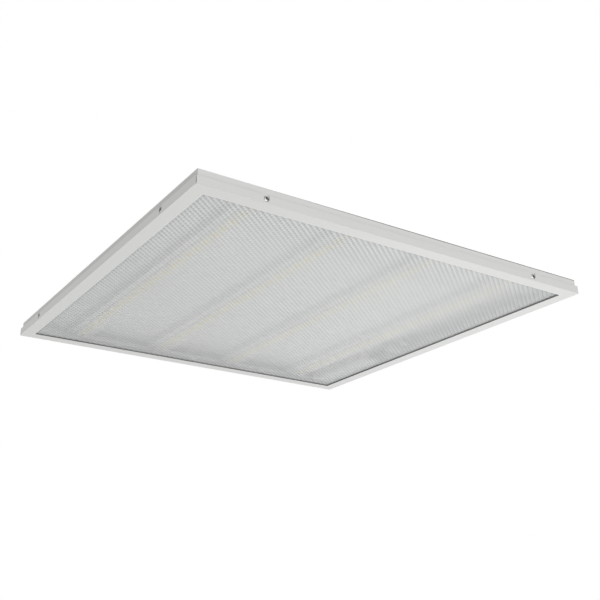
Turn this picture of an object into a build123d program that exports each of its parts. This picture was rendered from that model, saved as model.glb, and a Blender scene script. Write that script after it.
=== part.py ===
from build123d import *
import os
from math import atan2, cos, degrees, pi, radians, tan

# Recessed lay-in troffer light for a 600 mm ceiling grid, in millimetres.
# Z is up, towards the void above the ceiling.  The origin is the middle of the
# bezel's lower face, which rests on the grid.  The supply end is towards +X +Y.

# ---------------------------------------------------------------- driving sizes
# Module and sheet steel
side = 595.0                # square outline of the bezel
height = 20.8               # lower face of the bezel to the back of the tray
steel = 0.6                 # sheet of bezel and tray

# Bezel frame
face_width = 18.0           # flat face seen from below
flange_height = 11.0        # side flange, from the lower face
lip_rise = 1.8              # top of the inner lip, the seat of the diffuser
bezel_corner = 1.2          # outer radius of its upright corners
corner_seam = 0.9           # slot where two flanges meet
seam_foot = 1.2             # the slot starts this far above the lower face

# Diffuser sheet
diffuser_thick = 2.0
diffuser_edge_gap = 1.0     # inside the line of the tray's walls
diffuser_play = 0.2         # between the sheet and the tray's lip
diffuser_corner = 3.0

# Tray
tray_inset = 2.4            # wall, in from the outline of the bezel
tray_lip = 10.0             # inward lip that keeps the diffuser down
tray_corner = 1.4           # outer radius of its upright corners
tray_bend = 1.2             # outer radius of the bend between back and walls
lip_window_corner = 6.0
bay_width = 64.5            # from the last band to the wall, the room for driver and terminal

# Bands pressed into the back of the tray, one for each LED strip
band_count = 4
band_width = 46.0           # where it leaves the back
band_depth = 8.0
band_slope = 4.0            # run of its sloping sides
wire_channel = 14.0         # from the end of a band to the end wall

# Screws that clamp the bezel to the walls, two on each side
screw_from_corner = 88.0    # along the side
screw_r = 1.75
screw_length = 8.0
screw_tip = 2.0
screw_point_r = 0.4
screw_head_r = 3.0
screw_head_high = 1.5
screw_head_round = 1.3      # radius of the head's rim
screw_lip_gap = 0.15        # between shank and tray lip
screw_hole_gap = 0.05
head_gap = 0.05             # between head and seat
recess_gap = 0.6            # round the head
seat_gap = 0.15             # between the recess's floor and the tray wall
slot_gap = 0.45             # round the shank, in the slot of the recess
drive_long = 0.5            # cross recess of a screw: arm, as a share of the head's radius
drive_wide = 0.14           # half its width, as a share of the same
drive_deep = 0.45           # as a share of the head's height

# LED strips
board_width = 18.0
board_thick = 1.0
board_end_gap = 1.0         # inside the flat of the band
board_corner = 2.0
led_count = 24
led_width = 2.8
led_length = 3.5
led_high = 0.7
led_chamfer = 0.25
rivet_gap_from_end = 2      # LED gaps between the board's end and its first rivet
rivet_r = 1.5
rivet_hole_gap = 0.1
rivet_head_r = 3.0
rivet_head_high = 1.0
rivet_head_round = 0.7
rivet_bulb_r = 2.2
rivet_bulb_high = 1.4

# Connectors on the strips, and the fine wires they take
connector_offset = 6.2      # from the middle line of the board
connector_width = 5.6
connector_length = 10.0
connector_high = 4.0
connector_end_gap = 1.0
connector_chamfer = 0.4
release_slot = (1.0, 2.0)   # over each contact, for a thin tool
release_slot_back = 7.0     # its middle, in from the connector's face
wire_r = 0.75
wire_hole_gap = 0.2
wire_spread = 1.4           # half the distance between the two wires of a pair
wire_depth = 4.0            # how far a wire goes in
wire_bend = 6.5             # inner wire of a turning pair

# Clips that carry the jumpers along the end wall
clip_width = 8.0
clip_side = 1.6             # plastic past the wires
clip_mouth = 1.2            # width of the snap-in slot
clip_chamfer = 0.8

# Driver
driver_width = 38.0
driver_length = 150.0
driver_high = 14.0
driver_wall = 1.4
driver_end_gap = 22.0       # from its far end to the end wall
driver_corner = 2.0
ear_width = 14.0
ear_length = 8.0
ear_thick = 1.6
cover_skirt = 2.0
cover_chamfer = 0.56
skirt_thick = 1.1
skirt_end_gap = 12.0
cover_play = 0.1
circuit_thick = 1.6
circuit_edge_gap = 0.4
standoff_high = 1.6
standoff_r = 2.5
standoff_inset = 6.0
port_play = 0.2
input_spread = 3.0          # half the distance between live and neutral
input_width = 13.0
output_width = 9.0
plug_length = 10.0          # terminals on the circuit board
transformer_size = (20.0, 18.0, 6.6)
transformer_round = 1.5
core_size = (12.0, 22.0, 5.2)
capacitor_r = 3.4
capacitor_length = 14.0
capacitor_round = 0.6
choke_r = 5.0
choke_high = 6.0
choke_flange = 1.2
choke_groove = 0.8
heatsink_size = (16.0, 1.6, 6.0)
transistor_size = (7.0, 3.0, 5.0)
transformer_place = 0.1     # along the driver, as a share of its length from its middle
choke_place = 0.32
heatsink_place = -0.05
capacitor_place = -0.22
capacitor_side = 0.25       # across it, as a share of its width

# Screws that hold driver, terminal and cable clamp to the back
fixing_r = 1.5
fixing_hole_gap = 0.1
fixing_head_r = 2.8
fixing_head_high = 1.8
fixing_head_round = 0.8
fixing_tip = 0.6
proud = 1.2                 # what stands out of the back: screw tips, grommet, stud head

# Supply terminal, three poles with a release button each
lead_run = 52.0             # from the terminal to the driver
pole_pitch = 8.0
terminal_rim = 1.0
terminal_length = 18.0
terminal_high = 12.0
terminal_chamfer = 0.6
foot_length = 7.0
foot_width = 10.0
foot_thick = 2.0
lead_r = 0.9
lead_hole_gap = 0.4
lead_depth = 5.0
lead_drop = 8.0             # middle of the leads, below the back
earth_straight = 9.5        # straight start of the earth lead
earth_landing = 9.6         # straight end of it, before its end in the barrel
button_size = (4.0, 5.0)
button_play = 0.2
button_proud = 1.6
button_travel = 1.5
button_chamfer = 0.3
button_slot = (2.4, 0.8, 0.6)
button_floor = 1.4          # wall of the housing that the button passes
shoulder_wide = 0.7         # on each side in X
shoulder_long = 0.5         # on each side in Y
shoulder_high = 1.8
shoulder_rest = 0.1
pocket_depth = 8.6          # from the terminal's lower face to the roof of the button's pocket
clamp_leaf = 0.5
leaf_width = 3.6
clamp_spare = 0.3           # between the pressed button and the leaf

# Protective earth
stud_side = 22.0            # from the middle line of the supply bay
stud_back = 18.0            # from the driver towards the terminal
stud_r = 2.0
stud_head_r = 4.0
stud_length = 6.0
stud_hole_gap = 0.1
stud_head_chamfer = 0.4
stud_tip_chamfer = 0.5
nut_play = 0.05
nut_flats = 7.0
nut_high = 3.2
ring_r = 4.2
ring_thick = 0.8
ring_play = 0.1
neck_gap = 0.6              # between the neck and the stud
neck_lap = 2.0              # of the neck over the barrel
barrel_lap = 0.5            # of the barrel under the tongue
barrel_play = 0.1
barrel_r = 1.6
barrel_length = 7.0
barrel_lift = 0.1

# Cable entry
grommet_hole_r = 6.0
grommet_play = 0.1
grommet_flange_r = 8.5
grommet_inner_high = 2.6
grommet_round = 0.8
cable_r = 4.0               # bore of the grommet
grommet_run = 22.0          # grommet to clamp
clamp_run = 20.0            # clamp to terminal
clamp_opening = 12.0
clamp_rise = 8.0
clamp_thick = 1.6
clamp_width = 8.0
clamp_foot = 9.0
clamp_round = 3.0

# Fixing holes in the back
fixing_from_edge = 47.5     # along the bands
fixing_hole_r = 2.25

# Forms that cut run this far past a face, and bends take this share of their shorter run
past = 1.0
bend_share = 0.45

# ---------------------------------------------------------------- worked out
bezel_half = side / 2
opening_half = bezel_half - face_width
tray_half = bezel_half - tray_inset
tray_inner = tray_half - steel
tray_foot = lip_rise + diffuser_thick + diffuser_play
diffuser_half = tray_half - diffuser_edge_gap
back_in = height - steel                    # inner face of the tray's back

screw_z = tray_foot + steel + screw_lip_gap + screw_r
screw_place = bezel_half - screw_from_corner
seat_in = tray_half + seat_gap
seat_out = seat_in + steel
recess_half = screw_head_r + recess_gap

band_half = band_width / 2
band_half_long = tray_inner - wire_channel
band_face = back_in - band_depth
band_lean = degrees(atan2(band_slope, band_depth))
band_pitch = 2 * (tray_inner - bay_width - band_half) / (band_count - 1)
band_lines = [(k - (band_count - 1) / 2) * band_pitch for k in range(band_count)]

board_low = band_face - board_thick
board_half_long = band_half_long - band_slope - board_end_gap
led_pitch = 2 * board_half_long / led_count
led_lines = [(k - (led_count - 1) / 2) * led_pitch for k in range(led_count)]
inner_gap = 3 * led_count // 8
rivet_gaps = (rivet_gap_from_end, inner_gap, led_count - inner_gap, led_count - rivet_gap_from_end)
rivet_lines = [(g - led_count / 2) * led_pitch for g in rivet_gaps]

wire_z = board_low - connector_high / 2
connector_end = board_half_long - connector_end_gap
wire_wall_y = (band_half_long + tray_inner) / 2
wire_hole_r = wire_r + wire_hole_gap

bay_x = tray_inner - bay_width / 2
driver_far = tray_inner - driver_end_gap
driver_near = driver_far - driver_length
driver_mid = (driver_near + driver_far) / 2
driver_low = back_in - driver_high
cover_top = driver_low + driver_wall
circuit_top = back_in - driver_wall - standoff_high
circuit_low = circuit_top - circuit_thick
lead_z = back_in - lead_drop
lead_hole_r = lead_r + lead_hole_gap
fixing_hole = fixing_r + fixing_hole_gap

terminal_width = 3 * pole_pitch + 2 * terminal_rim
terminal_far = driver_near - lead_run
terminal_mid = terminal_far - terminal_length / 2
terminal_low = back_in - terminal_high
pole_lines = [bay_x + k * pole_pitch for k in (-1, 0, 1)]
foot_line = terminal_width / 2 + foot_length / 2
pocket_half_x = button_size[0] / 2 + shoulder_wide + button_play
pocket_half_y = button_size[1] / 2 + shoulder_long + button_play
shoulder_low = terminal_low + button_floor + shoulder_rest
leaf_low = shoulder_low + shoulder_high + button_travel + clamp_spare

clamp_y = terminal_mid - terminal_length / 2 - clamp_run
grommet_y = clamp_y - grommet_run
clamp_screw_x = clamp_opening / 2 + clamp_thick + clamp_foot / 2
stud_x = bay_x + stud_side
stud_y = driver_near - stud_back
fixing_place_x = (band_lines[-1] + band_lines[-2]) / 2
fixing_place_y = bezel_half - fixing_from_edge
barrel_end = stud_y - ring_r - barrel_length + barrel_lap
barrel_z = back_in - barrel_lift - barrel_r


# ---------------------------------------------------------------- helpers
def block(x0, x1, y0, y1, z0, z1):
    """A box between two corners."""
    return Pos((x0 + x1) / 2, (y0 + y1) / 2, (z0 + z1) / 2) * Box(x1 - x0, y1 - y0, z1 - z0)


def rod(r, x, y, z0, z1):
    """An upright round bar between two levels."""
    return Pos(x, y, (z0 + z1) / 2) * Cylinder(r, z1 - z0)


def rod_y(r, x, z, y0, y1):
    """A round bar along Y."""
    return Pos(x, (y0 + y1) / 2, z) * Rot(90, 0, 0) * Cylinder(r, y1 - y0)


def rod_x(r, y, z, x0, x1):
    """A round bar along X."""
    return Pos((x0 + x1) / 2, y, z) * Rot(0, 90, 0) * Cylinder(r, x1 - x0)


def slab(half, corner, z0, z1):
    """A square plate about the middle, with rounded upright corners."""
    plate = extrude(RectangleRounded(2 * half, 2 * half, corner), amount=z1 - z0)
    return Pos(0, 0, z0) * plate


def open_slot(half, x, y0, y1):
    """A U with a round foot round a screw's axis, open at the top of the flange."""
    top = flange_height + steel
    foot = rod_y(half, x, screw_z, y0, y1)
    return foot + block(x - half, x + half, y0, y1, screw_z, top)


def four_sides():
    """Turns that bring the -Y side onto each side."""
    return [Rot(0, 0, 90 * k) for k in range(4)]


def solids_of(*pieces):
    """All solids of some pieces, as one group."""
    return Compound([solid for piece in pieces for solid in piece.solids()])


def tube(points, bends, r):
    """A round wire along straight runs joined by arcs; prints its radii and length."""
    path = FilletPolyline(*points, radius=bends)
    start = Plane(origin=path @ 0, z_dir=path % 0)
    wire = sweep(start * Circle(r), path=path)
    share = wire.volume / (pi * r * r * path.length)
    print("wire", "radii", [round(b, 1) for b in bends], "length", round(path.length, 1),
          "volume/section", round(share, 4))
    return wire


def bend_radii(points):
    """For each corner, a share of its shorter run over the tangent of half its turn."""
    radii = []
    for a, b, c in zip(points, points[1:], points[2:]):
        before, after = Vector(b) - Vector(a), Vector(c) - Vector(b)
        turn = radians(before.get_angle(after))
        radii.append(bend_share * min(before.length, after.length) / tan(turn / 2))
    return radii


# ---------------------------------------------------------------- bezel and diffuser
def bezel_frame():
    """Pressed frame: face, flange, inner lip, and an open recess round each screw."""
    shell = slab(bezel_half, bezel_corner, 0, flange_height)
    shell -= slab(bezel_half - steel, bezel_corner - steel, steel, flange_height + steel)
    shell -= slab(opening_half, bezel_corner, -steel, 2 * steel)
    lip = slab(opening_half + steel, bezel_corner + steel, 0, lip_rise)
    lip -= slab(opening_half, bezel_corner, -steel, lip_rise + steel)
    shell += lip
    trim = slab(bezel_half, bezel_corner, 0, flange_height)
    for turn in four_sides():
        for x in (-screw_place, screw_place):
            cup = open_slot(recess_half + steel, x, -bezel_half, -seat_in) & trim
            shell += turn * cup
            shell -= turn * open_slot(recess_half, x, -bezel_half - steel, -seat_out)
            shell -= turn * open_slot(screw_r + slot_gap, x, -bezel_half - steel, -seat_in + steel)
    reach = bezel_half * 2 ** 0.5
    for k in range(4):
        seam = block(reach - 4 * bezel_corner, reach, -corner_seam / 2, corner_seam / 2,
                     seam_foot, flange_height + steel)
        shell -= Rot(0, 0, 45 + 90 * k) * seam
    return shell


def diffuser():
    """Flat sheet on the bezel's lip."""
    return slab(diffuser_half, diffuser_corner, lip_rise, lip_rise + diffuser_thick)


# ---------------------------------------------------------------- tray
def band_block(half_wide, half_long, top, depth):
    """A tapered block that hangs from a level, the form of a pressed band."""
    sketch = Rectangle(2 * half_wide, 2 * half_long)
    return Pos(0, 0, top) * Rot(180, 0, 0) * extrude(sketch, amount=depth, taper=band_lean)


def tray():
    """Pressed back box: back, walls, inward lip, bands for the strips and all holes."""
    outer = slab(tray_half, tray_corner, tray_foot, height)
    outer = fillet(outer.faces().sort_by(Axis.Z)[-1].edges(), tray_bend)
    inner = slab(tray_inner, tray_corner - steel, tray_foot + steel, back_in)
    inner = fillet(inner.faces().sort_by(Axis.Z)[-1].edges(), tray_bend - steel)
    shell = outer - inner
    shell -= slab(tray_half - tray_lip, lip_window_corner, tray_foot - steel, tray_foot + 2 * steel)
    thin = steel / cos(radians(band_lean))
    rise = steel * tan(radians(band_lean))
    for x in band_lines:
        shell += Pos(x, 0, 0) * band_block(band_half, band_half_long, back_in, band_depth)
    for x in band_lines:
        hollow = band_block(band_half + rise - thin, band_half_long + rise - thin, height, band_depth)
        shell -= Pos(x, 0, 0) * hollow
        for y in rivet_lines:
            shell -= rod(rivet_r + rivet_hole_gap, x, y, band_face - steel, band_face + 2 * steel)
    for turn in four_sides():
        for x in (-screw_place, screw_place):
            hole = rod_y(screw_r + screw_hole_gap, x, screw_z, -tray_half - steel, -tray_inner + steel)
            shell -= turn * hole
    for r, x, y in back_holes():
        shell -= rod(r, x, y, back_in - steel, height + steel)
    return shell


def back_holes():
    """Radius and place of every hole through the flat of the back."""
    holes = [(fixing_hole_r, sx * fixing_place_x, sy * fixing_place_y) for sx in (-1, 1) for sy in (-1, 1)]
    holes += [(fixing_hole, x, y) for x, y in fixing_places()]
    holes.append((stud_r + stud_hole_gap, stud_x, stud_y))
    holes.append((grommet_hole_r, bay_x, grommet_y))
    return holes


def driver_fixings():
    return [(bay_x, driver_near - ear_length / 2), (bay_x, driver_far + ear_length / 2)]


def terminal_fixings():
    return [(bay_x - foot_line, terminal_mid), (bay_x + foot_line, terminal_mid)]


def clamp_fixings():
    return [(bay_x - clamp_screw_x, clamp_y), (bay_x + clamp_screw_x, clamp_y)]


def fixing_places():
    return driver_fixings() + terminal_fixings() + clamp_fixings()


def fixing_screw(x, y, thick):
    """Small pan-head screw through a foot of a given thickness into the back."""
    under = back_in - thick
    low = under - fixing_head_high
    head = rod(fixing_head_r, x, y, low, under)
    head = fillet(head.edges().group_by(Axis.Z)[0], fixing_head_round)
    shank = rod(fixing_r, x, y, under, height + proud)
    shank = chamfer(shank.edges().group_by(Axis.Z)[-1], fixing_tip)
    screw = head + shank
    drive = fixing_head_r * drive_long
    slot = fixing_head_r * drive_wide
    for wide, long in ((slot, drive), (drive, slot)):
        screw -= block(x - wide, x + wide, y - long, y + long, low - past,
                       low + fixing_head_high * drive_deep)
    return screw


def frame_screws(turn):
    """The two pan-head screws of one side."""
    foot = seat_out + head_gap
    pair = []
    for x in (-screw_place, screw_place):
        head = rod_y(screw_head_r, x, screw_z, -foot - screw_head_high, -foot)
        head = fillet(head.edges().group_by(Axis.Y)[0], screw_head_round)
        end = -foot + screw_length
        shank = rod_y(screw_r, x, screw_z, -foot, end - screw_tip)
        point = Rot(-90, 0, 0) * Cone(screw_r, screw_point_r, screw_tip)
        point = Pos(x, end - screw_tip / 2, screw_z) * point
        screw = head + shank + point
        drive = screw_head_r * drive_long
        slot = screw_head_r * drive_wide
        for wide, tall in ((slot, drive), (drive, slot)):
            screw -= block(x - wide, x + wide, -foot - screw_head_high - past,
                           -foot - screw_head_high * (1 - drive_deep), screw_z - tall, screw_z + tall)
        pair.append(turn * screw)
    return solids_of(*pair)


# ---------------------------------------------------------------- LED strips
def led_strip(x):
    """Aluminium-core board with holes for its rivets."""
    board = extrude(RectangleRounded(board_width, 2 * board_half_long, board_corner), amount=board_thick)
    board = Pos(x, 0, board_low) * board
    for y in rivet_lines:
        board -= rod(rivet_r + rivet_hole_gap, x, y, board_low - past, band_face + past)
    return board


def led_group(x):
    """LED packages in a row, with a chamfered rim round the lit face."""
    package = block(-led_width / 2, led_width / 2, -led_length / 2, led_length / 2,
                    board_low - led_high, board_low)
    package = chamfer(package.faces().sort_by(Axis.Z)[0].edges(), led_chamfer)
    return solids_of(*[Pos(x, y, 0) * package for y in led_lines])


def strip_rivets(x):
    """Plastic snap rivets: head on the board, shank, bulb behind the band."""
    rivets = []
    for y in rivet_lines:
        head = rod(rivet_head_r, x, y, board_low - rivet_head_high, board_low)
        head = fillet(head.edges().group_by(Axis.Z)[0], rivet_head_round)
        shank = rod(rivet_r, x, y, board_low, band_face + steel)
        bulb_top = band_face + steel + rivet_bulb_high
        bulb = Pos(x, y, bulb_top - rivet_bulb_high / 2) * Cone(rivet_bulb_r, rivet_r, rivet_bulb_high)
        rivets.append(head + shank + bulb)
    return solids_of(*rivets)


def connector(x):
    """Two-pole push-in connector at the far end of a board."""
    low = board_low - connector_high
    body = block(x - connector_width / 2, x + connector_width / 2,
                 connector_end - connector_length, connector_end, low, board_low)
    body = chamfer(body.faces().sort_by(Axis.Z)[0].edges(), connector_chamfer)
    wide, long = release_slot[0] / 2, release_slot[1] / 2
    y = connector_end - release_slot_back
    for dx in (-wire_spread, wire_spread):
        body -= rod_y(wire_hole_r, x + dx, wire_z, connector_end - wire_depth, connector_end + past)
        body -= block(x + dx - wide, x + dx + wide, y - long, y + long, low - past, low + past)
    return body


def strip_connectors(x):
    return solids_of(connector(x - connector_offset), connector(x + connector_offset))


def side_wire(left, left_y, right, right_y, nest):
    """One wire of a pair: out of a connector, along the end wall, into the next.

    nest is -1 for the inner wire of the two turns, 1 for the outer one."""
    wall_y = wire_wall_y + nest * wire_spread
    x0 = left - nest * wire_spread
    x1 = right + nest * wire_spread
    points = [(x0, left_y, wire_z), (x0, wall_y, wire_z), (x1, wall_y, wire_z), (x1, right_y, wire_z)]
    bend = wire_bend + (nest + 1) * wire_spread
    return tube(points, [bend, bend], wire_r)


def jumper_mid(k):
    """Middle of the gap between strip k and the next."""
    return (band_lines[k] + band_lines[k + 1]) / 2


def cable_clip(x):
    """Clip on the end wall that holds a jumper's two wires."""
    near = wire_wall_y - wire_spread - wire_r - clip_side
    body = block(x - clip_width / 2, x + clip_width / 2, near, tray_inner,
                 wire_z - wire_r - clip_side, wire_z + wire_r + clip_side)
    body = chamfer(body.edges().filter_by(Axis.X).group_by(Axis.Y)[0], clip_chamfer)
    for y in (wire_wall_y - wire_spread, wire_wall_y + wire_spread):
        body -= rod_x(wire_hole_r, y, wire_z, x - clip_width, x + clip_width)
        body -= block(x - clip_width, x + clip_width, y - clip_mouth / 2, y + clip_mouth / 2,
                      wire_z - 2 * clip_side - wire_r, wire_z)
    return body


# ---------------------------------------------------------------- driver
def driver_base():
    """Tray of the driver's case, with two ears, four standoffs and a port at each end."""
    half = driver_width / 2
    outline = RectangleRounded(driver_width, driver_length, driver_corner)
    body = extrude(outline, amount=driver_high - driver_wall)
    body = Pos(bay_x, driver_mid, cover_top) * body
    body -= block(bay_x - half + driver_wall, bay_x + half - driver_wall, driver_near + driver_wall,
                  driver_far - driver_wall, cover_top - past, back_in - driver_wall)
    for x, y in driver_fixings():
        ear = block(x - ear_width / 2, x + ear_width / 2, y - ear_length / 2, y + ear_length / 2,
                    back_in - ear_thick, back_in)
        body += ear
        body -= rod(fixing_hole, x, y, back_in - 2 * ear_thick, back_in + past)
    for x, y in standoffs():
        body += rod(standoff_r, x, y, circuit_top, back_in - driver_wall / 2)
    body -= port(input_width, driver_near)
    body -= port(output_width, driver_far)
    return body


def port(width, y):
    """Opening in an end wall round a terminal, open towards the cover."""
    reach = driver_wall + past
    return block(bay_x - width / 2 - port_play, bay_x + width / 2 + port_play, y - reach, y + reach,
                 cover_top - past, circuit_low + port_play)


def standoffs():
    x = driver_width / 2 - standoff_inset
    y = driver_length / 2 - 3 * standoff_inset
    return [(bay_x + sx * x, driver_mid + sy * y) for sx in (-1, 1) for sy in (-1, 1)]


def driver_cover():
    """Lid of the driver's case, with a skirt inside each long wall."""
    lid = extrude(RectangleRounded(driver_width, driver_length, driver_corner), amount=driver_wall)
    lid = Pos(bay_x, driver_mid, driver_low) * lid
    lid = chamfer(lid.faces().sort_by(Axis.Z)[0].edges(), cover_chamfer)
    outer = driver_width / 2 - driver_wall - cover_play
    inner = outer - skirt_thick
    for turn in (-1, 1):
        x0, x1 = sorted((bay_x + turn * inner, bay_x + turn * outer))
        lid += block(x0, x1, driver_near + skirt_end_gap, driver_far - skirt_end_gap,
                     cover_top - driver_wall / 2, cover_top + cover_skirt)
    return lid


def driver_board():
    """Circuit board against the four standoffs."""
    half_x = driver_width / 2 - driver_wall - circuit_edge_gap
    half_y = driver_length / 2 - driver_wall - circuit_edge_gap
    return block(bay_x - half_x, bay_x + half_x, driver_mid - half_y, driver_mid + half_y,
                 circuit_low, circuit_top)


def plug(width, spread, r, depth, level, end, inward):
    """Terminal under the circuit board at one end of the driver."""
    y0, y1 = sorted((end, end + inward * plug_length))
    body = block(bay_x - width / 2, bay_x + width / 2, y0, y1, cover_top + port_play, circuit_low)
    for dx in (-spread, spread):
        h0, h1 = sorted((end - inward, end + inward * depth))
        body -= rod_y(r, bay_x + dx, level, h0, h1)
    return body


def driver_input():
    return plug(input_width, input_spread, lead_hole_r, wire_depth, lead_z, driver_near, 1)


def driver_output():
    return plug(output_width, wire_spread, wire_hole_r, wire_depth, wire_z, driver_far, -1)


def hang(size, x, y):
    """A box of a given size that hangs under the circuit board."""
    return block(x - size[0] / 2, x + size[0] / 2, y - size[1] / 2, y + size[1] / 2,
                 circuit_low - size[2], circuit_low)


def driver_transformer():
    """Bobbin with a ferrite core through it."""
    y = driver_mid + driver_length * transformer_place
    bobbin = hang(transformer_size, bay_x, y)
    bobbin = fillet(bobbin.edges().filter_by(Axis.Y).group_by(Axis.Z)[0], transformer_round)
    return bobbin + hang(core_size, bay_x, y)


def driver_capacitors():
    """Two electrolytic capacitors lying on the board."""
    cans = []
    for side_of in (-1, 1):
        x = bay_x + side_of * capacitor_side * driver_width
        y = driver_mid + driver_length * capacitor_place
        can = rod_y(capacitor_r, x, circuit_low - capacitor_r, y - capacitor_length / 2,
                    y + capacitor_length / 2)
        cans.append(fillet(can.edges().filter_by(GeomType.CIRCLE), capacitor_round))
    return solids_of(*cans)


def driver_choke():
    """Drum choke: two flanges with a waist."""
    y = driver_mid + driver_length * choke_place
    low = circuit_low - choke_high
    drum = rod(choke_r, bay_x, y, low, circuit_low)
    groove = rod(choke_r + past, bay_x, y, low + choke_flange, circuit_low - choke_flange)
    return drum - (groove - rod(choke_r - choke_groove, bay_x, y, low, circuit_low))


def driver_heatsink():
    """Upright plate with a power transistor against it."""
    y = driver_mid + driver_length * heatsink_place
    plate = hang(heatsink_size, bay_x, y)
    transistor = hang(transistor_size, bay_x, y - (heatsink_size[1] + transistor_size[1]) / 2)
    return plate + transistor


# ---------------------------------------------------------------- supply terminal
def terminal_block():
    """Housing of the three-pole terminal, with two feet."""
    body = block(bay_x - terminal_width / 2, bay_x + terminal_width / 2,
                 terminal_mid - terminal_length / 2, terminal_far, terminal_low, back_in)
    body = chamfer(body.faces().sort_by(Axis.Z)[0].edges(), terminal_chamfer)
    reach = foot_line + foot_length / 2
    body += block(bay_x - reach, bay_x + reach, terminal_mid - foot_width / 2, terminal_mid + foot_width / 2,
                  back_in - foot_thick, back_in)
    for x, y in terminal_fixings():
        body -= rod(fixing_hole, x, y, back_in - 2 * foot_thick, back_in + past)
    near = terminal_mid - terminal_length / 2
    for x in pole_lines:
        body -= rod_y(lead_hole_r, x, lead_z, terminal_far - lead_depth, terminal_far + past)
        body -= rod_y(lead_hole_r, x, lead_z, near - past, near + lead_depth)
        body -= block(x - pocket_half_x, x + pocket_half_x, terminal_mid - pocket_half_y,
                      terminal_mid + pocket_half_y, terminal_low + button_floor, terminal_low + pocket_depth)
        half_x = button_size[0] / 2 + button_play
        half_y = button_size[1] / 2 + button_play
        body -= block(x - half_x, x + half_x, terminal_mid - half_y, terminal_mid + half_y,
                      terminal_low - past, terminal_low + button_floor + past)
    return body


def release_button(x):
    """Button with a shoulder that keeps it in, and a slot for a screwdriver."""
    half_x, half_y = button_size[0] / 2, button_size[1] / 2
    low = terminal_low - button_proud
    stem = block(x - half_x, x + half_x, terminal_mid - half_y, terminal_mid + half_y, low, shoulder_low)
    stem = chamfer(stem.faces().sort_by(Axis.Z)[0].edges(), button_chamfer)
    stem += block(x - half_x - shoulder_wide, x + half_x + shoulder_wide,
                  terminal_mid - half_y - shoulder_long, terminal_mid + half_y + shoulder_long,
                  shoulder_low, shoulder_low + shoulder_high)
    wide, long, deep = button_slot
    return stem - block(x - wide / 2, x + wide / 2, terminal_mid - long / 2, terminal_mid + long / 2,
                        low - past, low + deep)


def terminal_clamps():
    """A bent leaf spring above each button."""
    leaves = []
    roof = terminal_low + pocket_depth
    for x in pole_lines:
        half = leaf_width / 2
        leaf = block(x - half, x + half, terminal_mid - pocket_half_y, terminal_mid + pocket_half_y,
                     leaf_low, roof)
        leaf -= block(x - half - past, x + half + past, terminal_mid - pocket_half_y + clamp_leaf,
                      terminal_mid + pocket_half_y - clamp_leaf, leaf_low + clamp_leaf, roof + past)
        leaves.append(leaf)
    return solids_of(*leaves)


def supply_lead(x, target):
    """Lead from a pole of the terminal to a hole of the driver's input."""
    run = lead_run / 4
    start = terminal_far - lead_depth
    points = [(x, start, lead_z), (x, terminal_far + run, lead_z),
              (target, driver_near - run, lead_z), (target, driver_near + wire_depth, lead_z)]
    return tube(points, bend_radii(points), lead_r)


def earth_lead():
    """Lead from the third pole up to the ring on the stud."""
    x = pole_lines[2]
    start = terminal_far - lead_depth
    end = barrel_end + wire_depth
    points = [(x, start, lead_z), (x, start + earth_straight, lead_z),
              (stud_x, end - earth_landing, barrel_z), (stud_x, end, barrel_z)]
    return tube(points, bend_radii(points), lead_r)


# ---------------------------------------------------------------- earth stud
def earth_stud():
    head = rod(stud_head_r, stud_x, stud_y, height, height + proud)
    head = chamfer(head.edges().group_by(Axis.Z)[-1], stud_head_chamfer)
    shank = rod(stud_r, stud_x, stud_y, back_in - stud_length, height)
    return head + chamfer(shank.edges().group_by(Axis.Z)[0], stud_tip_chamfer)


def earth_ring():
    """Ring terminal: tongue round the stud, barrel towards the lead."""
    top = back_in
    tongue = rod(ring_r, stud_x, stud_y, top - ring_thick, top)
    neck = block(stud_x - barrel_r, stud_x + barrel_r, stud_y - ring_r - neck_lap,
                 stud_y - stud_r - neck_gap, top - ring_thick, top)
    barrel = rod_y(barrel_r, stud_x, barrel_z, barrel_end, barrel_end + barrel_length)
    bore = rod_y(lead_r + barrel_play, stud_x, barrel_z, barrel_end - past, barrel_end + wire_depth)
    eye = rod(stud_r + ring_play, stud_x, stud_y, top - 2 * ring_thick, top + past)
    return tongue + neck + barrel - bore - eye


def earth_nut():
    top = back_in - ring_thick
    nut = extrude(RegularPolygon(nut_flats / 2, 6, major_radius=False), amount=nut_high)
    nut = Pos(stud_x, stud_y, top - nut_high) * nut
    return nut - rod(stud_r + nut_play, stud_x, stud_y, top - nut_high - past, top + past)


# ---------------------------------------------------------------- cable entry
def cable_grommet():
    """Rubber grommet with a flange on each side of the back."""
    low = back_in - grommet_inner_high
    top = height + proud
    body = rod(grommet_flange_r, bay_x, grommet_y, low, back_in)
    body += rod(grommet_hole_r - grommet_play, bay_x, grommet_y, low, top)
    body += rod(grommet_flange_r, bay_x, grommet_y, height, top)
    body = fillet(body.edges().group_by(Axis.Z)[0], grommet_round)
    return body - rod(cable_r, bay_x, grommet_y, low - past, top + past)


def cable_clamp():
    """Arched saddle that anchors the supply cable."""
    half = clamp_opening / 2
    low = back_in - clamp_rise - clamp_thick
    reach = half + clamp_thick + clamp_foot
    y0, y1 = clamp_y - clamp_width / 2, clamp_y + clamp_width / 2
    arch = block(bay_x - half - clamp_thick, bay_x + half + clamp_thick, y0, y1, low, back_in)
    arch = fillet(arch.edges().filter_by(Axis.Y).group_by(Axis.Z)[0], clamp_round)
    feet = block(bay_x - reach, bay_x + reach, y0, y1, back_in - clamp_thick, back_in)
    hollow = block(bay_x - half, bay_x + half, y0 - past, y1 + past, back_in - clamp_rise, back_in + past)
    hollow = fillet(hollow.edges().filter_by(Axis.Y).group_by(Axis.Z)[0], clamp_round - clamp_thick)
    body = arch + feet - hollow
    for x, y in clamp_fixings():
        body -= rod(fixing_hole, x, y, back_in - 2 * clamp_thick, back_in + past)
    return body


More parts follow.
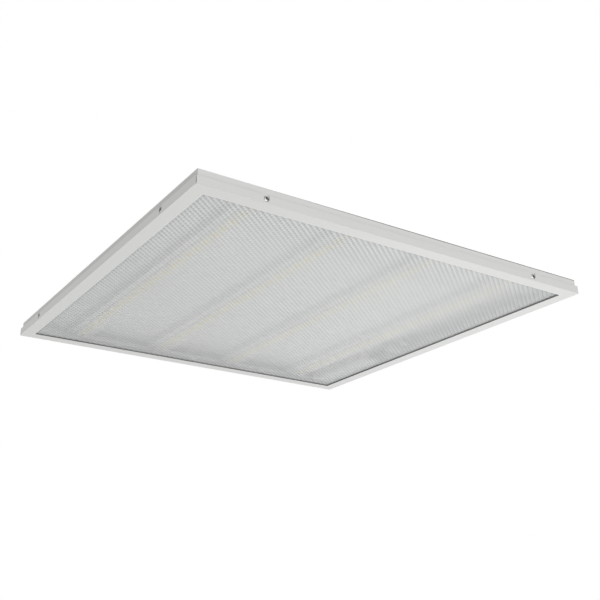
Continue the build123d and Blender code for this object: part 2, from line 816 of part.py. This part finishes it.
# ---------------------------------------------------------------- the whole part
def all_pieces():
    pieces = {"bezel_frame": bezel_frame(), "diffuser": diffuser(), "tray": tray()}
    for k, turn in enumerate(four_sides(), 1):
        pieces[f"frame_screws_{k}"] = frame_screws(turn)
    for k, x in enumerate(band_lines, 1):
        pieces[f"led_strip_{k}"] = led_strip(x)
        pieces[f"leds_{k}"] = led_group(x)
        pieces[f"strip_rivets_{k}"] = strip_rivets(x)
        pieces[f"strip_connectors_{k}"] = strip_connectors(x)
    inside = connector_end - wire_depth
    for pole, nest in (("minus", -1), ("plus", 1)):
        for k in range(band_count - 1):
            left = band_lines[k] + connector_offset
            right = band_lines[k + 1] - connector_offset
            pieces[f"jumper_{pole}_{k + 1}"] = side_wire(left, inside, right, inside, nest)
        left = band_lines[-1] + connector_offset
        pieces[f"output_{pole}"] = side_wire(left, inside, bay_x, driver_far - wire_depth, nest)
    pieces["cable_clips"] = solids_of(*[cable_clip(jumper_mid(k)) for k in range(band_count - 1)])
    pieces["driver_base"] = driver_base()
    pieces["driver_cover"] = driver_cover()
    pieces["driver_board"] = driver_board()
    pieces["driver_input"] = driver_input()
    pieces["driver_output"] = driver_output()
    pieces["driver_transformer"] = driver_transformer()
    pieces["driver_capacitors"] = driver_capacitors()
    pieces["driver_choke"] = driver_choke()
    pieces["driver_heatsink"] = driver_heatsink()
    pieces["driver_screws"] = solids_of(*[fixing_screw(x, y, ear_thick) for x, y in driver_fixings()])
    pieces["terminal_block"] = terminal_block()
    pieces["terminal_clamps"] = terminal_clamps()
    pieces["terminal_screws"] = solids_of(*[fixing_screw(x, y, foot_thick) for x, y in terminal_fixings()])
    for name, x in zip(("live", "neutral", "earth"), pole_lines):
        pieces[f"button_{name}"] = release_button(x)
    pieces["live_lead"] = supply_lead(pole_lines[0], bay_x - input_spread)
    pieces["neutral_lead"] = supply_lead(pole_lines[1], bay_x + input_spread)
    pieces["earth_lead"] = earth_lead()
    pieces["earth_stud"] = earth_stud()
    pieces["earth_ring"] = earth_ring()
    pieces["earth_nut"] = earth_nut()
    pieces["cable_grommet"] = cable_grommet()
    pieces["cable_clamp"] = cable_clamp()
    pieces["clamp_screws"] = solids_of(*[fixing_screw(x, y, clamp_thick) for x, y in clamp_fixings()])
    return pieces


os.makedirs("parts", exist_ok=True)
for name, piece in all_pieces().items():
    export_step(piece, f"parts/{name}.step")
    print(name, "solids", len(piece.solids()), "volume", round(piece.volume, 1))
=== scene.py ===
from math import radians

import bpy
import numpy as np
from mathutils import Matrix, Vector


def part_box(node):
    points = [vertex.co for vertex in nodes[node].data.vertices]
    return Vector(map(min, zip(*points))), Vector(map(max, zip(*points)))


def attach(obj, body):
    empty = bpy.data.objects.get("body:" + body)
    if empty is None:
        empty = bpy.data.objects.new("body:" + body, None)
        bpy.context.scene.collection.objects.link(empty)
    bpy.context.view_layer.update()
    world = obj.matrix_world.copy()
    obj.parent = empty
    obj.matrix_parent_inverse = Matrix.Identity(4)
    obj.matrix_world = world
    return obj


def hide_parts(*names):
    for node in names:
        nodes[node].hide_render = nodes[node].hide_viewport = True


# A lay-in troffer light, seen from below and from one corner.  Lengths are metres.
# The origin is the middle of the bezel's lower face; the LED strips run along Y.
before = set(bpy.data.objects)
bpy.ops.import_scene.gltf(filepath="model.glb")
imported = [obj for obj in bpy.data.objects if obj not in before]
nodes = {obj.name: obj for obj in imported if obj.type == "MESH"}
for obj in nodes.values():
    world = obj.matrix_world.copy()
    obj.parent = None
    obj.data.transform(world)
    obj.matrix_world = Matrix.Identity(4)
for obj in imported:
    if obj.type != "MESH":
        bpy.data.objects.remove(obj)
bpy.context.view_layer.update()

# Bezel, tray and the screws between them
window = 0.2795                     # half of the bezel's opening
lip_edge = 0.0003                   # above the lower face, below the lip's inner wall
flange_floor = window + 0.0165      # past it lie only the flange and its recesses
recess_radius = 0.0046
tray_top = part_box("tray")[1].z
shadow_line_height = 0.0018                   # painted contact shadow along the top of the tray's end walls, with its fade
screw_low, screw_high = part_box("frame_screws_1")
screw_level = (screw_low.z + screw_high.z) / 2
screw_place = screw_high.x - (screw_high.z - screw_low.z) / 2

# Prismatic sheet
sheet_low, sheet_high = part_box("diffuser")
columns, rows = 120, 150            # half diagonals of its prisms across the prism field
prism_reach = window + 0.0030       # half of the prism field, a little under the lip
prism_depth = 0.0008
sheet_bevel = 0.0009                # off the sheet's four corners

# LED strips
strip_low, strip_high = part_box("led_strip_1")
led_count = 24
led_pitch = (strip_high.y - strip_low.y) / led_count
band_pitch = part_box("led_strip_2")[0].x - strip_low.x
phosphor_radius = 0.00145
copper_half = 0.0062                # half width of the copper under the LEDs
pad_gap = 0.0045                    # the copper is thinner this near to the middle between LEDs


# ---------------------------------------------------------------- camera
def photograph_camera():
    """The photograph's eye: under the light, off its near corner, looking up."""
    lens = bpy.data.cameras.new("eye")
    lens.lens, lens.sensor_width = 54.73, 36.0
    lens.shift_x = 20 / 600             # the photograph was cut off its optical middle
    eye = bpy.data.objects.new("eye", lens)
    eye.location = (-0.6816, -1.0674, -0.4587)
    eye.rotation_euler = [radians(turn) for turn in (110.908, -0.067, -32.473)]
    bpy.context.scene.collection.objects.link(eye)
    bpy.context.scene.camera = eye


# ---------------------------------------------------------------- materials in Python sums
class Value:
    """A number that varies over a surface; a sum of such numbers adds its Math nodes."""

    def __init__(self, finish, socket):
        self.finish, self.socket = finish, socket

    def maths(self, operation, *others):
        made = self.finish.node("ShaderNodeMath", {"operation": operation},
                                dict(enumerate([self, *others])))
        return Value(self.finish, made.outputs[0])

    def __add__(self, other):
        return self.maths("ADD", other)

    def __mul__(self, other):
        return self.maths("MULTIPLY", other)

    def __sub__(self, other):
        return self.maths("SUBTRACT", other)

    def __truediv__(self, other):
        return self.maths("DIVIDE", other)

    def __rsub__(self, other):
        return self * -1.0 + other

    __radd__, __rmul__ = __add__, __mul__

    def above(self, edge):
        """1 where the number is above an edge, 0 elsewhere."""
        return self.maths("GREATER_THAN", edge)

    def below(self, edge):
        return self.maths("LESS_THAN", edge)

    def size(self):
        return self.maths("ABSOLUTE")

    def repeat(self, period):
        """Signed distance to the nearest multiple of a period."""
        return (self / period + 0.5).maths("FRACT") * period - period / 2

    def step(self, start, end):
        """A smooth 0 to 1 between two levels."""
        made = self.finish.node("ShaderNodeMapRange", {"interpolation_type": "SMOOTHSTEP"},
                                {"Value": self, "From Min": start, "From Max": end})
        return Value(self.finish, made.outputs[0])


class Finish:
    """One material: its nodes, and the shader whose sockets they feed."""

    def __init__(self, name, rough, metal=0.0):
        self.material = bpy.data.materials.new(name)
        self.material.use_nodes = True
        self.tree = self.material.node_tree
        self.shader = self.tree.nodes["Principled BSDF"]
        self.feed(self.shader.inputs["Roughness"], rough)
        self.feed(self.shader.inputs["Metallic"], metal)
        self.spot = self.node("ShaderNodeTexCoord").outputs["Object"]
        apart = self.node("ShaderNodeSeparateXYZ", {}, {0: self.spot})
        self.x, self.y, self.z = (Value(self, out) for out in apart.outputs)

    def node(self, kind, settings=None, sockets=None):
        """Adds a node: its settings first, then what its sockets hold or are linked to."""
        made = self.tree.nodes.new(kind)
        for name, value in (settings or {}).items():
            setattr(made, name, value)
        for name, value in (sockets or {}).items():
            self.feed(made.inputs[name], value)
        return made

    def feed(self, socket, value):
        if isinstance(value, Value):
            value = value.socket
        if isinstance(value, bpy.types.NodeSocket):
            self.tree.links.new(value, socket)
        else:
            socket.default_value = value

    def put(self, **sockets):
        """Sets or links the shader's sockets: Coat_Weight stands for Coat Weight."""
        for name, value in sockets.items():
            self.feed(self.shader.inputs[name.replace("_", " ")], value)
        return self

    def facing(self):
        """How far the surface faces along each axis, as three numbers."""
        normal = self.node("ShaderNodeNewGeometry").outputs["Normal"]
        apart = self.node("ShaderNodeSeparateXYZ", {}, {0: normal})
        return [Value(self, out) for out in apart.outputs]

    def noise(self, grain, detail=2.0, stretch=(1, 1, 1)):
        """Cloudy noise of a given grain, from 0 to 1, longer along the axes that are squeezed."""
        squeezed = self.node("ShaderNodeMapping", {}, {"Vector": self.spot, "Scale": stretch})
        made = self.node("ShaderNodeTexNoise", {}, {"Vector": squeezed.outputs[0],
                                                     "Scale": 1 / grain, "Detail": detail})
        return Value(self, made.outputs[0])

    def mix(self, share, first, second):
        """A colour between two colours."""
        made = self.node("ShaderNodeMix", {"data_type": "RGBA"}, {"Factor": share})
        for socket, colour in ((made.inputs[6], first), (made.inputs[7], second)):
            self.feed(socket, (*colour, 1) if isinstance(colour, tuple) else colour)
        return made.outputs[2]

    def shade(self, colour, spread, varying):
        """A colour that gets lighter and darker by a share as a number goes from 0 to 1."""
        low, high = (tuple(c * (1 + side * spread) for c in colour) for side in (-1, 1))
        return self.mix(varying, low, high)

    def relief(self, height, depth, strength=1.0):
        """Raises the surface by a height from 0 to 1 times a depth in metres."""
        made = self.node("ShaderNodeBump", {}, {"Strength": strength, "Distance": depth,
                                                 "Height": height})
        return self.put(Normal=made.outputs[0])


# ---------------------------------------------------------------- finishes
def powder_coat(name, colour):
    """Satin powder coat on sheet steel: faint clouds and orange peel."""
    coat = Finish(name, 0.42)
    clouds = coat.noise(0.11, 3.0)
    specks = coat.noise(0.0022, 1.0)
    coat.colour = coat.shade(colour, 0.018, clouds * 0.7 + specks * 0.3)
    coat.put(Base_Color=coat.colour, Roughness=0.38 + 0.1 * clouds)
    return coat.relief(coat.noise(0.0014, 2.0), 0.00003, 0.5)


def around_screws(coat):
    """1 within a screw's recess, on any side, by the distance from the nearest screw's axis."""
    level = coat.z - screw_level
    marks = 0
    for along, out in ((coat.x, coat.y), (coat.y, coat.x)):
        reach = along.size() - screw_place
        distance = (reach * reach + level * level).maths("SQRT")
        nearness = distance.step(recess_radius, recess_radius - 0.0012)
        marks = marks + nearness * out.size().above(flange_floor)
    return marks


def bezel_coat():
    """The frame's coat: darker round the screws, a painted shadow on the inner wall of its lip, a
    painted highlight along the rim.
    """
    coat = powder_coat("bezel_powder", (0.785, 0.785, 0.77))
    rim = coat.x.size().maths("MAXIMUM", coat.y.size()) - window
    flat = coat.facing()[2].size()
    # painted shadow: the inner wall of the lip is made nearly black
    painted_lip_shadow = rim.size().below(0.0009) * (1 - flat.above(0.5)) * coat.z.above(lip_edge + 0.0001)
    # painted highlight: a lighter band along the inner rim of the lower face
    painted_rim_highlight = rim.step(0.0012, 0.0006) * flat.above(0.5) * coat.z.below(lip_edge)
    # darker grey round the screws, inside their recesses
    darker_round_screws = around_screws(coat) * (0.3 + 0.4 * coat.noise(0.0012, 2.0))
    colour = coat.mix(darker_round_screws, coat.colour, (0.48, 0.48, 0.47))
    colour = coat.mix(painted_rim_highlight, colour, (0.90, 0.90, 0.89))
    return coat.put(Base_Color=coat.mix(painted_lip_shadow * 0.8, colour, (0.12, 0.12, 0.12))).material


def tray_coat():
    """The tray's coat, with painted shade: darker on the side walls, and a painted dark shadow line
    along the top edge of the two end walls.
    """
    coat = powder_coat("tray_powder", (0.805, 0.805, 0.785))
    # painted shade: the side walls facing along X are made darker
    side_wall_shade = coat.x.size().above(sheet_high.x) * coat.facing()[0].size().above(0.5)
    colour = coat.mix(side_wall_shade, coat.colour, (0.68, 0.68, 0.66))
    top = tray_top - shadow_line_height
    # painted contact shadow: a near-black line along the top of the end walls, fading out towards
    # -X
    edge = coat.z.step(top, top + 0.0004) * coat.y.size().above(sheet_high.x)
    painted_contact_shadow = edge * coat.x.step(-0.25, 0.0) * (0.6 + 0.4 * coat.noise(0.012, 2.0))
    return coat.put(Base_Color=coat.mix(painted_contact_shadow, colour, (0.07, 0.07, 0.07))).material


def prism_plastic():
    """Prismatic sheet: its prisms scatter, most in the grooves and near the bezel, where light also
    comes in from the side; its flat upper face is nearly clear, so the strips show. Its colour
    carries painted shade: darker along the grooves, more so near the bezel."""
    sheet = Finish("prism_plastic", 0.3)
    clouds = sheet.noise(0.13, 3.0)
    fine = sheet.noise(0.006, 2.0, (1, 0.25, 1))
    colour = sheet.shade((0.875, 0.895, 0.90), 0.03, clouds * 0.6 + fine * 0.4)
    i, j = sheet.x * (columns / 2 / prism_reach), sheet.y * (rows / 2 / prism_reach)
    across, along = ((i + j * side).repeat(2.0).size() for side in (1, -1))
    # painted shade: darker along the grooves, more so near the bezel
    groove = across.step(0.3, 0.0) * 0.15 + along.step(0.5, 0.0) * 0.85
    rim = window - sheet.x.size().maths("MAXIMUM", sheet.y.size())
    depth = groove * (0.28 + 0.62 * rim.step(0.10, 0.0))
    colour = sheet.mix(depth, colour, (0.42, 0.43, 0.43))
    # painted shade: darker in a narrow band next to the bezel
    colour = sheet.mix(rim.step(0.008, 0.0) * 0.3, colour, (0.30, 0.31, 0.31))
    lower_side = sheet.z.below(sheet_high.z - 0.0001)
    scattered = 0.48 + 0.16 * depth + 0.11 * rim.step(0.06, 0.0)
    sheet.put(Base_Color=colour, Alpha=lower_side * scattered + 0.03, IOR=1.59)
    return sheet.relief(fine, 0.00002, 0.3).material


def zinc(name, painted_reflection=0.0):
    """Bright zinc plate with turning marks and dull spots.

    A painted dark reflection darkens what faces up, away from the near corner of the light, or out
    at its sides."""
    plate = Finish(name, 0.25, 1.0)
    marks = plate.noise(0.0006, 2.0, (1, 1, 6))
    dull = plate.noise(0.003, 2.0)
    colour = plate.shade((0.74, 0.75, 0.77), 0.1, dull)
    if painted_reflection:
        # painted reflection: the plate is made nearly black where it faces up, away from the near
        # corner, or out at the sides
        faces_x, faces_y, faces_z = plate.facing()
        on_ends, on_sides = (facing.size().above(0.6) for facing in (faces_y, faces_x))
        lean = faces_z + faces_x * on_ends + 0.25 * on_sides
        colour = plate.mix(lean.step(-0.3, 0.05) * painted_reflection, colour, (0.05, 0.05, 0.05))
    plate.put(Base_Color=colour, Roughness=0.2 + 0.22 * dull)
    return plate.relief(marks, 0.00002, 0.4).material


def strip_board():
    """White solder mask over aluminium: creamy over the raised copper, bare metal edges."""
    board = Finish("strip_board", 0.32)
    across = (board.x - band_pitch / 2).repeat(band_pitch)
    between = board.y.repeat(led_pitch).size()
    copper = across.size().below(copper_half) * (1 - between.below(0.0004))
    edge = 1 - board.facing()[2].size().step(0.3, 0.6)
    mask = board.shade((0.80, 0.81, 0.79), 0.02, board.noise(0.02))
    pads = between.above(pad_gap) * 0.45 + 0.45
    mask = board.mix(copper * pads, mask, (0.86, 0.79, 0.52))
    board.put(Base_Color=board.mix(edge, mask, (0.62, 0.63, 0.64)), Metallic=edge)
    return board.relief(copper, 0.00004, 0.6).material


def led_package():
    """White LED package with a yellow phosphor window in its lit face."""
    led = Finish("led_package", 0.35)
    across = (led.x - band_pitch / 2).repeat(band_pitch)
    along = (led.y - led_pitch / 2).repeat(led_pitch)
    distance = (across * across + along * along * 0.72).maths("SQRT")
    lit = distance.step(phosphor_radius, phosphor_radius - 0.00015) * led.facing()[2].below(-0.7)
    body = led.shade((0.82, 0.82, 0.79), 0.03, led.noise(0.001))
    led.put(Base_Color=led.mix(lit, body, (0.88, 0.62, 0.10)), Roughness=0.32 + 0.2 * lit)
    return led.relief(1 - lit, 0.0001, 0.7).material


def moulded(name, colour, rough=0.42, grain=0.0009, depth=0.00003, spread=0.04):
    """Moulded plastic with a fine eroded texture and slight flow marks."""
    plastic = Finish(name, rough)
    flow = plastic.noise(0.02, 3.0, (1, 0.4, 1))
    texture = plastic.noise(grain, 2.0)
    plastic.put(Base_Color=plastic.shade(colour, spread, flow),
                Roughness=rough - 0.05 + 0.1 * texture)
    return plastic.relief(texture, depth, 0.6).material


def circuit():
    """Green solder mask over copper runs, bare fibre at the edges."""
    board = Finish("circuit_mask", 0.3)
    runs_x = board.x.repeat(0.0046).size().below(0.0007) * board.y.repeat(0.031).size().above(0.004)
    runs_y = board.y.repeat(0.0115).size().below(0.0008) * board.x.repeat(0.013).size().above(0.002)
    copper = runs_x.maths("MAXIMUM", runs_y)
    edge = 1 - board.facing()[2].size().step(0.3, 0.6)
    colour = board.mix(copper * 0.6, (0.03, 0.14, 0.06), (0.07, 0.25, 0.10))
    board.put(Base_Color=board.mix(edge, colour, (0.42, 0.38, 0.22)))
    return board.relief(copper, 0.00004, 0.8).material


def sleeve():
    """Capacitor: dark shrink sleeve with a pale stripe, aluminium ends."""
    can = Finish("capacitor_sleeve", 0.3)
    end = can.facing()[1].size().step(0.6, 0.85)
    stripe = can.x.repeat(0.0095).size().below(0.0008)
    colour = can.shade((0.035, 0.045, 0.09), 0.1, can.noise(0.004))
    colour = can.mix(stripe * 0.8, colour, (0.45, 0.46, 0.48))
    can.put(Base_Color=can.mix(end, colour, (0.72, 0.73, 0.74)), Metallic=end)
    return can.relief(can.noise(0.0015), 0.00002, 0.4).material


def drawn_metal(name, colour, rough, stretch):
    """Rolled or drawn metal with fine lines along one axis."""
    metal = Finish(name, rough, 1.0)
    lines = metal.noise(0.0012, 3.0, stretch)
    metal.put(Base_Color=metal.shade(colour, 0.07, lines), Roughness=rough - 0.06 + 0.14 * lines)
    return metal.relief(lines, 0.00001, 0.5).material


def insulation(name, colour, second=None):
    """Wire insulation: smooth, with faint clouds; a second colour runs along it as stripes."""
    cover = Finish(name, 0.36)
    clouds = cover.noise(0.006, 2.0)
    tint = cover.shade(colour, 0.08, clouds)
    if second:
        stripe = (cover.x * 1.0 + cover.z * 0.6).repeat(0.0022).size().below(0.0005)
        tint = cover.mix(stripe, tint, second)
    cover.put(Base_Color=tint, Roughness=0.3 + 0.12 * clouds)
    return cover.relief(clouds, 0.00004, 0.3).material


def finish_everything():
    """Gives every shown CAD node its material."""
    plate, screw_plate = zinc("zinc_plate"), zinc("painted_reflection_zinc", 0.92)
    nylon = moulded("white_nylon", (0.76, 0.76, 0.74), 0.45)
    red = insulation("wire_red", (0.50, 0.03, 0.02))
    black = insulation("wire_black", (0.02, 0.02, 0.022))
    buttons = moulded("button_grey", (0.72, 0.72, 0.70), 0.35)
    ferrite = moulded("ferrite", (0.05, 0.05, 0.055), 0.55, 0.0007, 0.00006, 0.15)
    case = moulded("driver_case", (0.72, 0.72, 0.70), 0.48, 0.0011, 0.00006)
    plug = moulded("driver_plug", (0.68, 0.68, 0.65), 0.4)
    board, led = strip_board(), led_package()
    wearers = {
        "bezel_frame": bezel_coat(), "tray": tray_coat(),
        "cable_clips": nylon, "cable_clamp": nylon,
        "driver_base": case, "driver_cover": case, "driver_board": circuit(),
        "driver_input": plug, "driver_output": plug,
        "driver_transformer": ferrite, "driver_choke": ferrite, "driver_capacitors": sleeve(),
        "driver_heatsink": drawn_metal("mill_aluminium", (0.74, 0.75, 0.76), 0.35, (0.1, 1, 1)),
        "terminal_block": moulded("terminal_grey", (0.60, 0.61, 0.60), 0.45),
        "terminal_clamps": drawn_metal("spring_steel", (0.60, 0.60, 0.61), 0.3, (1, 0.1, 1)),
        "earth_ring": drawn_metal("tinned_brass", (0.74, 0.66, 0.45), 0.3, (1, 0.2, 1)),
        "cable_grommet": moulded("grommet_rubber", (0.50, 0.50, 0.49), 0.6, 0.0008, 0.00005, 0.06),
        "live_lead": insulation("wire_brown", (0.17, 0.06, 0.02)),
        "neutral_lead": insulation("wire_blue", (0.02, 0.10, 0.42)),
        "earth_lead": insulation("wire_green_yellow", (0.05, 0.32, 0.04), (0.75, 0.62, 0.05)),
    }
    for k in (1, 2, 3, 4):
        wearers.update({f"frame_screws_{k}": screw_plate, f"led_strip_{k}": board,
                        f"leds_{k}": led, f"strip_rivets_{k}": nylon,
                        f"strip_connectors_{k}": nylon})
    for k in (1, 2, 3):
        wearers.update({f"jumper_plus_{k}": red, f"jumper_minus_{k}": black})
    wearers.update({"output_plus": red, "output_minus": black})
    for name in ("driver_screws", "terminal_screws", "clamp_screws", "earth_stud", "earth_nut"):
        wearers[name] = plate
    for name in ("live", "neutral", "earth"):
        wearers[f"button_{name}"] = buttons
    for name, material in wearers.items():
        for slot in nodes[name].material_slots:
            slot.material = material


# ---------------------------------------------------------------- the prismatic sheet
def new_piece(name, points, faces, body, material):
    """A mesh object at the origin that rides on a body."""
    mesh = bpy.data.meshes.new(name)
    mesh.from_pydata(points, [], faces)
    mesh.validate()
    mesh.update()
    piece = bpy.data.objects.new(name, mesh)
    bpy.context.scene.collection.objects.link(piece)
    mesh.materials.append(material)
    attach(piece, body)
    return piece


def prism_sheet(material):
    """The diffuser, with its crossed grooves as a closed mesh.

    Two families of grooves cross at the corners of diamonds, and each diamond holds one
    four-sided prism.  On a grid with one line per half diagonal, every second point in both
    directions is a groove crossing and the points between are prism tips, so the height is a
    checkerboard: tip where column plus row is odd.  Each grid cell is cut along its groove.
    Outside the opening the sheet is flat and rests on the bezel's lip."""
    reach, half = prism_reach, sheet_high.x
    root, tip = sheet_low.z + prism_depth, sheet_low.z
    i, j = np.meshgrid(np.arange(columns + 1), np.arange(rows + 1), indexing="ij")
    x = (i / columns * 2 - 1) * reach
    y = (j / rows * 2 - 1) * reach
    edge = (i == 0) | (j == 0) | (i == columns) | (j == rows)
    z = np.where(((i + j) % 2 == 1) & ~edge, tip, root)
    points = np.stack([x, y, z], -1).reshape(-1, 3)

    def spot(a, b):
        """The number of the point in a column and a row."""
        return a * (rows + 1) + b

    a, b = (v.ravel() for v in np.meshgrid(np.arange(columns), np.arange(rows), indexing="ij"))
    p, q, r, s = spot(a, b), spot(a + 1, b), spot(a + 1, b + 1), spot(a, b + 1)
    even = (a + b) % 2 == 0
    first = np.where(even[:, None], np.stack([p, r, q], -1), np.stack([p, s, q], -1))
    second = np.where(even[:, None], np.stack([p, s, r], -1), np.stack([q, s, r], -1))
    faces = np.concatenate([first, second]).tolist()
    walk = np.concatenate([spot(np.arange(columns), 0), spot(columns, np.arange(rows)),
                           spot(np.arange(columns, 0, -1), rows), spot(0, np.arange(rows, 0, -1))])
    ring = points[walk][:, :2]
    corner = np.abs(ring).min(1, keepdims=True) > reach - 1e-6

    def outline(level):
        """The ring of the prism field widened to the sheet's edge, its corners cut, at a level."""
        wide = ring * (half / reach)
        wide = np.where(corner, np.sign(wide) * (half - sheet_bevel), wide)
        return np.column_stack([wide, np.full(len(wide), level)])

    start, count = len(points), len(walk)
    foot = np.column_stack([ring, np.full(count, sheet_low.z)])
    points = np.concatenate([points, foot, outline(sheet_low.z), outline(sheet_high.z)])
    rings = [walk] + [start + k * count + np.arange(count) for k in range(3)]
    onward = np.roll(np.arange(count), -1)
    for inner, outer in zip(rings, rings[1:]):
        faces += np.stack([inner, inner[onward], outer[onward], outer], -1).tolist()
    faces.append(rings[-1].tolist())
    sheet = new_piece("prism_sheet", points.tolist(), faces, "bezel", material)
    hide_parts("diffuser")
    return sheet


# ---------------------------------------------------------------- surroundings
def lamp(name, place, size, power):
    """A square lamp that faces the light."""
    light = bpy.data.lights.new(name, "AREA")
    light.size, light.energy = size, power
    thing = bpy.data.objects.new(name, light)
    thing.location = place
    thing.rotation_euler = (-thing.location).to_track_quat("-Z", "Y").to_euler()
    bpy.context.scene.collection.objects.link(thing)


def surroundings():
    """White surroundings, a pale floor of the room far below, and four soft lamps.

    What the camera, a mirror or a clear sheet sees of the surroundings is full white, and what
    lights the object is less."""
    world = bpy.data.worlds.new("room")
    bpy.context.scene.world = world
    world.use_nodes = True
    tree = world.node_tree
    shine = tree.nodes["Background"]
    shine.inputs[0].default_value = (1, 1, 1, 1)
    path = tree.nodes.new("ShaderNodeLightPath")
    seen = path.outputs["Is Camera Ray"]
    for ray in ("Is Transmission Ray", "Is Glossy Ray"):
        either = tree.nodes.new("ShaderNodeMath")
        either.operation = "MAXIMUM"
        tree.links.new(seen, either.inputs[0])
        tree.links.new(path.outputs[ray], either.inputs[1])
        seen = either.outputs[0]
    level = tree.nodes.new("ShaderNodeMapRange")
    level.inputs["To Min"].default_value, level.inputs["To Max"].default_value = 0.46, 1.0
    tree.links.new(seen, level.inputs["Value"])
    tree.links.new(level.outputs[0], shine.inputs[1])
    paint = Finish("floor_paint", 0.8)
    paint.put(Base_Color=paint.shade((0.86, 0.86, 0.86), 0.01, paint.noise(0.4)))
    bpy.ops.mesh.primitive_circle_add(vertices=96, radius=5.0, fill_type="NGON",
                                      location=(0, 0, -2.8))
    floor = bpy.context.object
    floor.name = "floor"
    floor.data.materials.append(paint.material)
    lamp("key", (0.0, -2.1, -1.0), 1.4, 18)
    lamp("side", (-1.9, -0.4, -1.6), 1.4, 6)
    lamp("far", (1.6, 0.9, -1.55), 1.6, 14.5)
    lamp("above", (0.5, 0.6, 2.0), 1.4, 12)


photograph_camera()
surroundings()
finish_everything()
prism_sheet(prism_plastic())

bpy.context.scene.view_settings.view_transform = "Standard"
